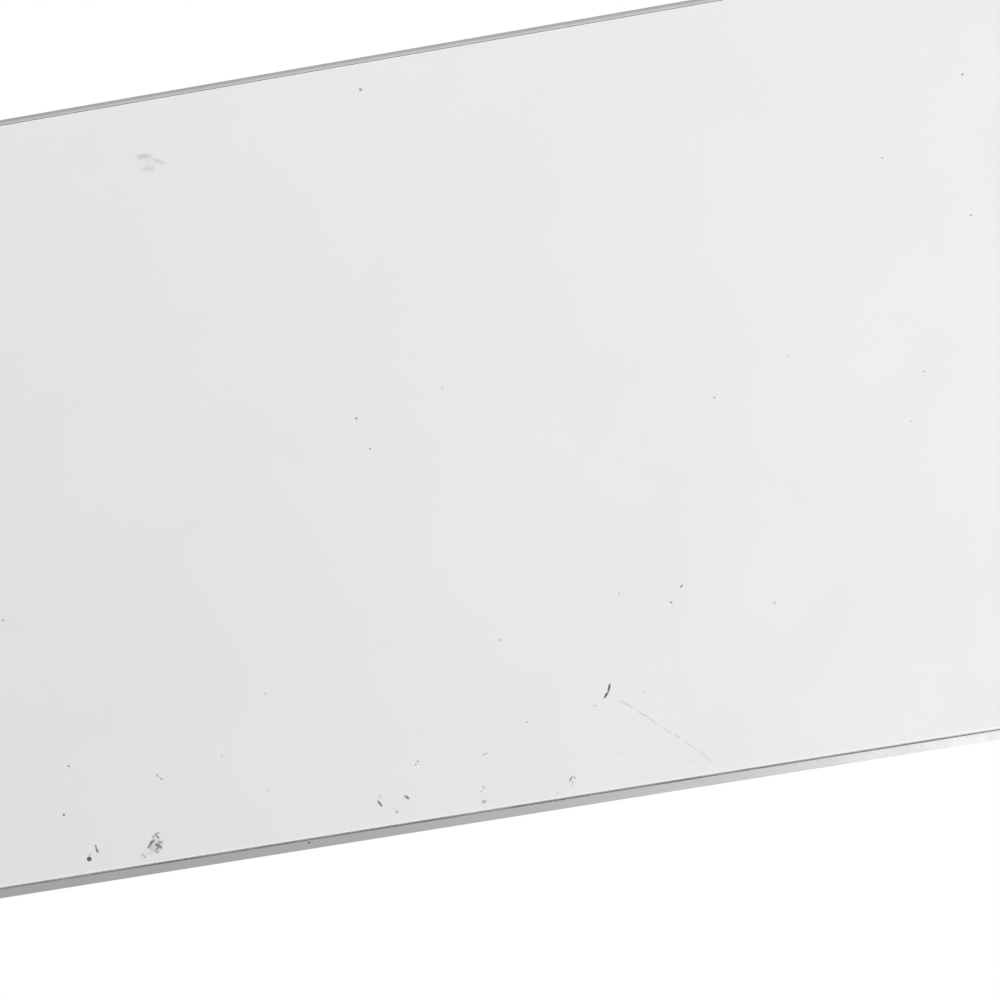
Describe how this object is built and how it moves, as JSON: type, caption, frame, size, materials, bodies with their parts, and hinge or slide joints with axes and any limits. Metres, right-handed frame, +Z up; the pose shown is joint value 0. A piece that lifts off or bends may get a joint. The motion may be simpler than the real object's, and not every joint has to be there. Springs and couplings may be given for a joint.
{
  "type": "wireless keyboard",
  "caption": "Compact wedge-shaped wireless keyboard with a flat plastic underside in an aluminium rim, low scissor keys, a charging socket and a sliding power switch.",
  "frame": {"origin": "on the desk, under the middle of the keyboard's outline", "axes": "+X along the rows of keys to the typist's right, +Y from the typist towards the thick rear edge, +Z up from the desk"},
  "size_m": [0.279, 0.1148, 0.0107],
  "materials": {
    "case_aluminium": "satin",
    "cover_plastic": "matte",
    "adhesive_foam": "matte",
    "foot_rubber": "matte",
    "plate_steel": "satin",
    "membrane_film": "satin",
    "dome_rubber": "matte",
    "scissor_plastic": "satin",
    "wire_steel": "satin",
    "battery_wrap": "satin",
    "lead_film": "satin",
    "board_laminate": "satin",
    "chip_resin": "matte",
    "socket_steel": "satin",
    "switch_plastic": "matte",
    "knob_plastic": "satin",
    "key_plastic": "matte"
  },
  "bodies": {
    "housing": {"battery_cells": "battery_wrap", "battery_lead": "lead_film", "board_chips": "chip_resin", "bottom_cover": "cover_plastic", "charging_socket": "socket_steel", "cover_adhesive": "adhesive_foam", "logic_board": "board_laminate", "membrane_ribbon": "membrane_film", "power_switch_body": "switch_plastic", "rubber_domes": "dome_rubber", "rubber_feet": "foot_rubber", "scissor_inner_frames": "scissor_plastic", "scissor_outer_frames": "scissor_plastic", "screws": "wire_steel", "stabiliser_bars": "wire_steel", "support_plate": "plate_steel", "switch_membrane": "membrane_film", "top_case": "case_aluminium"},
    "function_keys": {"function_keys": "key_plastic"},
    "key_a": {"key_a": "key_plastic"},
    "key_arrow_down": {"key_arrow_down": "key_plastic"},
    "key_arrow_left": {"key_arrow_left": "key_plastic"},
    "key_arrow_right": {"key_arrow_right": "key_plastic"},
    "key_arrow_up": {"key_arrow_up": "key_plastic"},
    "key_b": {"key_b": "key_plastic"},
    "key_c": {"key_c": "key_plastic"},
    "key_caps_lock": {"key_caps_lock": "key_plastic"},
    "key_d": {"key_d": "key_plastic"},
    "key_delete": {"key_delete": "key_plastic"},
    "key_e": {"key_e": "key_plastic"},
    "key_f": {"key_f": "key_plastic"},
    "key_g": {"key_g": "key_plastic"},
    "key_h": {"key_h": "key_plastic"},
    "key_i": {"key_i": "key_plastic"},
    "key_j": {"key_j": "key_plastic"},
    "key_k": {"key_k": "key_plastic"},
    "key_l": {"key_l": "key_plastic"},
    "key_left_shift": {"key_left_shift": "key_plastic"},
    "key_m": {"key_m": "key_plastic"},
    "key_n": {"key_n": "key_plastic"},
    "key_o": {"key_o": "key_plastic"},
    "key_p": {"key_p": "key_plastic"},
    "key_q": {"key_q": "key_plastic"},
    "key_r": {"key_r": "key_plastic"},
    "key_return": {"key_return": "key_plastic"},
    "key_right_shift": {"key_right_shift": "key_plastic"},
    "key_s": {"key_s": "key_plastic"},
    "key_space": {"key_space": "key_plastic"},
    "key_t": {"key_t": "key_plastic"},
    "key_tab": {"key_tab": "key_plastic"},
    "key_u": {"key_u": "key_plastic"},
    "key_v": {"key_v": "key_plastic"},
    "key_w": {"key_w": "key_plastic"},
    "key_x": {"key_x": "key_plastic"},
    "key_y": {"key_y": "key_plastic"},
    "key_z": {"key_z": "key_plastic"},
    "modifier_keys": {"modifier_keys": "key_plastic"},
    "number_keys": {"number_keys": "key_plastic"},
    "punctuation_keys": {"punctuation_keys": "key_plastic"},
    "power_switch": {"power_switch_slider": "knob_plastic"}
  },
  "joints": [
    {"name": "function_keys_press", "type": "slide", "parent": "housing", "child": "function_keys", "axis": [0, 0.053, -0.9986], "range_m": [0, 0.001], "stiffness_N_per_m": 7000, "springref_m": -0.0002, "deforming": ["rubber_domes", "scissor_outer_frames", "scissor_inner_frames"]},
    {"name": "key_a_press", "type": "slide", "parent": "housing", "child": "key_a", "axis": [0, 0.053, -0.9986], "range_m": [0, 0.001], "stiffness_N_per_m": 500, "springref_m": -0.0002, "deforming": ["rubber_domes", "scissor_outer_frames", "scissor_inner_frames"]},
    {"name": "key_arrow_down_press", "type": "slide", "parent": "housing", "child": "key_arrow_down", "axis": [0, 0.053, -0.9986], "range_m": [0, 0.001], "stiffness_N_per_m": 500, "springref_m": -0.0002, "deforming": ["rubber_domes", "scissor_outer_frames", "scissor_inner_frames"]},
    {"name": "key_arrow_left_press", "type": "slide", "parent": "housing", "child": "key_arrow_left", "axis": [0, 0.053, -0.9986], "range_m": [0, 0.001], "stiffness_N_per_m": 500, "springref_m": -0.0002, "deforming": ["rubber_domes", "scissor_outer_frames", "scissor_inner_frames"]},
    {"name": "key_arrow_right_press", "type": "slide", "parent": "housing", "child": "key_arrow_right", "axis": [0, 0.053, -0.9986], "range_m": [0, 0.001], "stiffness_N_per_m": 500, "springref_m": -0.0002, "deforming": ["rubber_domes", "scissor_outer_frames", "scissor_inner_frames"]},
    {"name": "key_arrow_up_press", "type": "slide", "parent": "housing", "child": "key_arrow_up", "axis": [0, 0.053, -0.9986], "range_m": [0, 0.001], "stiffness_N_per_m": 500, "springref_m": -0.0002, "deforming": ["rubber_domes", "scissor_outer_frames", "scissor_inner_frames"]},
    {"name": "key_b_press", "type": "slide", "parent": "housing", "child": "key_b", "axis": [0, 0.053, -0.9986], "range_m": [0, 0.001], "stiffness_N_per_m": 500, "springref_m": -0.0002, "deforming": ["rubber_domes", "scissor_outer_frames", "scissor_inner_frames"]},
    {"name": "key_c_press", "type": "slide", "parent": "housing", "child": "key_c", "axis": [0, 0.053, -0.9986], "range_m": [0, 0.001], "stiffness_N_per_m": 500, "springref_m": -0.0002, "deforming": ["rubber_domes", "scissor_outer_frames", "scissor_inner_frames"]},
    {"name": "key_caps_lock_press", "type": "slide", "parent": "housing", "child": "key_caps_lock", "axis": [0, 0.053, -0.9986], "range_m": [0, 0.001], "stiffness_N_per_m": 500, "springref_m": -0.0002, "deforming": ["rubber_domes", "scissor_outer_frames", "scissor_inner_frames", "stabiliser_bars"]},
    {"name": "key_d_press", "type": "slide", "parent": "housing", "child": "key_d", "axis": [0, 0.053, -0.9986], "range_m": [0, 0.001], "stiffness_N_per_m": 500, "springref_m": -0.0002, "deforming": ["rubber_domes", "scissor_outer_frames", "scissor_inner_frames"]},
    {"name": "key_delete_press", "type": "slide", "parent": "housing", "child": "key_delete", "axis": [0, 0.053, -0.9986], "range_m": [0, 0.001], "stiffness_N_per_m": 500, "springref_m": -0.0002, "deforming": ["rubber_domes", "scissor_outer_frames", "scissor_inner_frames"]},
    {"name": "key_e_press", "type": "slide", "parent": "housing", "child": "key_e", "axis": [0, 0.053, -0.9986], "range_m": [0, 0.001], "stiffness_N_per_m": 500, "springref_m": -0.0002, "deforming": ["rubber_domes", "scissor_outer_frames", "scissor_inner_frames"]},
    {"name": "key_f_press", "type": "slide", "parent": "housing", "child": "key_f", "axis": [0, 0.053, -0.9986], "range_m": [0, 0.001], "stiffness_N_per_m": 500, "springref_m": -0.0002, "deforming": ["rubber_domes", "scissor_outer_frames", "scissor_inner_frames"]},
    {"name": "key_g_press", "type": "slide", "parent": "housing", "child": "key_g", "axis": [0, 0.053, -0.9986], "range_m": [0, 0.001], "stiffness_N_per_m": 500, "springref_m": -0.0002, "deforming": ["rubber_domes", "scissor_outer_frames", "scissor_inner_frames"]},
    {"name": "key_h_press", "type": "slide", "parent": "housing", "child": "key_h", "axis": [0, 0.053, -0.9986], "range_m": [0, 0.001], "stiffness_N_per_m": 500, "springref_m": -0.0002, "deforming": ["rubber_domes", "scissor_outer_frames", "scissor_inner_frames"]},
    {"name": "key_i_press", "type": "slide", "parent": "housing", "child": "key_i", "axis": [0, 0.053, -0.9986], "range_m": [0, 0.001], "stiffness_N_per_m": 500, "springref_m": -0.0002, "deforming": ["rubber_domes", "scissor_outer_frames", "scissor_inner_frames"]},
    {"name": "key_j_press", "type": "slide", "parent": "housing", "child": "key_j", "axis": [0, 0.053, -0.9986], "range_m": [0, 0.001], "stiffness_N_per_m": 500, "springref_m": -0.0002, "deforming": ["rubber_domes", "scissor_outer_frames", "scissor_inner_frames"]},
    {"name": "key_k_press", "type": "slide", "parent": "housing", "child": "key_k", "axis": [0, 0.053, -0.9986], "range_m": [0, 0.001], "stiffness_N_per_m": 500, "springref_m": -0.0002, "deforming": ["rubber_domes", "scissor_outer_frames", "scissor_inner_frames"]},
    {"name": "key_l_press", "type": "slide", "parent": "housing", "child": "key_l", "axis": [0, 0.053, -0.9986], "range_m": [0, 0.001], "stiffness_N_per_m": 500, "springref_m": -0.0002, "deforming": ["rubber_domes", "scissor_outer_frames", "scissor_inner_frames"]},
    {"name": "key_left_shift_press", "type": "slide", "parent": "housing", "child": "key_left_shift", "axis": [0, 0.053, -0.9986], "range_m": [0, 0.001], "stiffness_N_per_m": 500, "springref_m": -0.0002, "deforming": ["rubber_domes", "scissor_outer_frames", "scissor_inner_frames", "stabiliser_bars"]},
    {"name": "key_m_press", "type": "slide", "parent": "housing", "child": "key_m", "axis": [0, 0.053, -0.9986], "range_m": [0, 0.001], "stiffness_N_per_m": 500, "springref_m": -0.0002, "deforming": ["rubber_domes", "scissor_outer_frames", "scissor_inner_frames"]},
    {"name": "key_n_press", "type": "slide", "parent": "housing", "child": "key_n", "axis": [0, 0.053, -0.9986], "range_m": [0, 0.001], "stiffness_N_per_m": 500, "springref_m": -0.0002, "deforming": ["rubber_domes", "scissor_outer_frames", "scissor_inner_frames"]},
    {"name": "key_o_press", "type": "slide", "parent": "housing", "child": "key_o", "axis": [0, 0.053, -0.9986], "range_m": [0, 0.001], "stiffness_N_per_m": 500, "springref_m": -0.0002, "deforming": ["rubber_domes", "scissor_outer_frames", "scissor_inner_frames"]},
    {"name": "key_p_press", "type": "slide", "parent": "housing", "child": "key_p", "axis": [0, 0.053, -0.9986], "range_m": [0, 0.001], "stiffness_N_per_m": 500, "springref_m": -0.0002, "deforming": ["rubber_domes", "scissor_outer_frames", "scissor_inner_frames"]},
    {"name": "key_q_press", "type": "slide", "parent": "housing", "child": "key_q", "axis": [0, 0.053, -0.9986], "range_m": [0, 0.001], "stiffness_N_per_m": 500, "springref_m": -0.0002, "deforming": ["rubber_domes", "scissor_outer_frames", "scissor_inner_frames"]},
    {"name": "key_r_press", "type": "slide", "parent": "housing", "child": "key_r", "axis": [0, 0.053, -0.9986], "range_m": [0, 0.001], "stiffness_N_per_m": 500, "springref_m": -0.0002, "deforming": ["rubber_domes", "scissor_outer_frames", "scissor_inner_frames"]},
    {"name": "key_return_press", "type": "slide", "parent": "housing", "child": "key_return", "axis": [0, 0.053, -0.9986], "range_m": [0, 0.001], "stiffness_N_per_m": 500, "springref_m": -0.0002, "deforming": ["rubber_domes", "scissor_outer_frames", "scissor_inner_frames", "stabiliser_bars"]},
    {"name": "key_right_shift_press", "type": "slide", "parent": "housing", "child": "key_right_shift", "axis": [0, 0.053, -0.9986], "range_m": [0, 0.001], "stiffness_N_per_m": 500, "springref_m": -0.0002, "deforming": ["rubber_domes", "scissor_outer_frames", "scissor_inner_frames", "stabiliser_bars"]},
    {"name": "key_s_press", "type": "slide", "parent": "housing", "child": "key_s", "axis": [0, 0.053, -0.9986], "range_m": [0, 0.001], "stiffness_N_per_m": 500, "springref_m": -0.0002, "deforming": ["rubber_domes", "scissor_outer_frames", "scissor_inner_frames"]},
    {"name": "key_space_press", "type": "slide", "parent": "housing", "child": "key_space", "axis": [0, 0.053, -0.9986], "range_m": [0, 0.001], "stiffness_N_per_m": 500, "springref_m": -0.0002, "deforming": ["rubber_domes", "scissor_outer_frames", "scissor_inner_frames", "stabiliser_bars"]},
    {"name": "key_t_press", "type": "slide", "parent": "housing", "child": "key_t", "axis": [0, 0.053, -0.9986], "range_m": [0, 0.001], "stiffness_N_per_m": 500, "springref_m": -0.0002, "deforming": ["rubber_domes", "scissor_outer_frames", "scissor_inner_frames"]},
    {"name": "key_tab_press", "type": "slide", "parent": "housing", "child": "key_tab", "axis": [0, 0.053, -0.9986], "range_m": [0, 0.001], "stiffness_N_per_m": 500, "springref_m": -0.0002, "deforming": ["rubber_domes", "scissor_outer_frames", "scissor_inner_frames"]},
    {"name": "key_u_press", "type": "slide", "parent": "housing", "child": "key_u", "axis": [0, 0.053, -0.9986], "range_m": [0, 0.001], "stiffness_N_per_m": 500, "springref_m": -0.0002, "deforming": ["rubber_domes", "scissor_outer_frames", "scissor_inner_frames"]},
    {"name": "key_v_press", "type": "slide", "parent": "housing", "child": "key_v", "axis": [0, 0.053, -0.9986], "range_m": [0, 0.001], "stiffness_N_per_m": 500, "springref_m": -0.0002, "deforming": ["rubber_domes", "scissor_outer_frames", "scissor_inner_frames"]},
    {"name": "key_w_press", "type": "slide", "parent": "housing", "child": "key_w", "axis": [0, 0.053, -0.9986], "range_m": [0, 0.001], "stiffness_N_per_m": 500, "springref_m": -0.0002, "deforming": ["rubber_domes", "scissor_outer_frames", "scissor_inner_frames"]},
    {"name": "key_x_press", "type": "slide", "parent": "housing", "child": "key_x", "axis": [0, 0.053, -0.9986], "range_m": [0, 0.001], "stiffness_N_per_m": 500, "springref_m": -0.0002, "deforming": ["rubber_domes", "scissor_outer_frames", "scissor_inner_frames"]},
    {"name": "key_y_press", "type": "slide", "parent": "housing", "child": "key_y", "axis": [0, 0.053, -0.9986], "range_m": [0, 0.001], "stiffness_N_per_m": 500, "springref_m": -0.0002, "deforming": ["rubber_domes", "scissor_outer_frames", "scissor_inner_frames"]},
    {"name": "key_z_press", "type": "slide", "parent": "housing", "child": "key_z", "axis": [0, 0.053, -0.9986], "range_m": [0, 0.001], "stiffness_N_per_m": 500, "springref_m": -0.0002, "deforming": ["rubber_domes", "scissor_outer_frames", "scissor_inner_frames"]},
    {"name": "modifier_keys_press", "type": "slide", "parent": "housing", "child": "modifier_keys", "axis": [0, 0.053, -0.9986], "range_m": [0, 0.001], "stiffness_N_per_m": 3000, "springref_m": -0.0002, "deforming": ["rubber_domes", "scissor_outer_frames", "scissor_inner_frames"]},
    {"name": "number_keys_press", "type": "slide", "parent": "housing", "child": "number_keys", "axis": [0, 0.053, -0.9986], "range_m": [0, 0.001], "stiffness_N_per_m": 6500, "springref_m": -0.0002, "deforming": ["rubber_domes", "scissor_outer_frames", "scissor_inner_frames"]},
    {"name": "punctuation_keys_press", "type": "slide", "parent": "housing", "child": "punctuation_keys", "axis": [0, 0.053, -0.9986], "range_m": [0, 0.001], "stiffness_N_per_m": 4000, "springref_m": -0.0002, "deforming": ["rubber_domes", "scissor_outer_frames", "scissor_inner_frames"]},
    {"name": "power_switch_slide", "type": "slide", "parent": "housing", "child": "power_switch", "axis": [1, 0, 0], "range_m": [0, 0.0022]}
  ]
}
